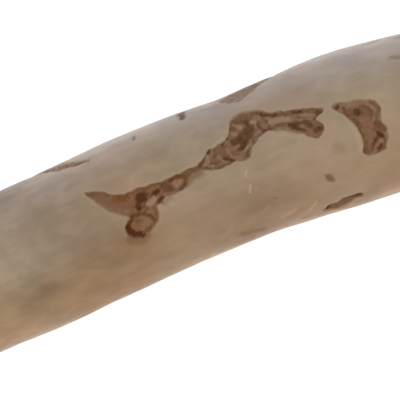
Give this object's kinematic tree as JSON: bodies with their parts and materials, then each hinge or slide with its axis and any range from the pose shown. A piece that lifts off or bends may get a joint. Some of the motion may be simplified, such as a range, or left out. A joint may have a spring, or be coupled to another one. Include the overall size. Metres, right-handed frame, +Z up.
{
  "type": "coffee wood chew stick",
  "caption": "Short, slightly bent length of stripped branch wood, sanded smooth, with brown bark left in its creases and flat sawn ends.",
  "frame": {"origin": "on the surface that the stick lies on, under the middle of its bounding box", "axes": "+X along the stick towards its thinner sawn end, +Y towards the outside of its bend, +Z up"},
  "size_m": [0.185, 0.0426, 0.039],
  "materials": {
    "wood": "satin"
  },
  "bodies": {
    "root": {"chew_stick": "wood"}
  },
  "joints": []
}
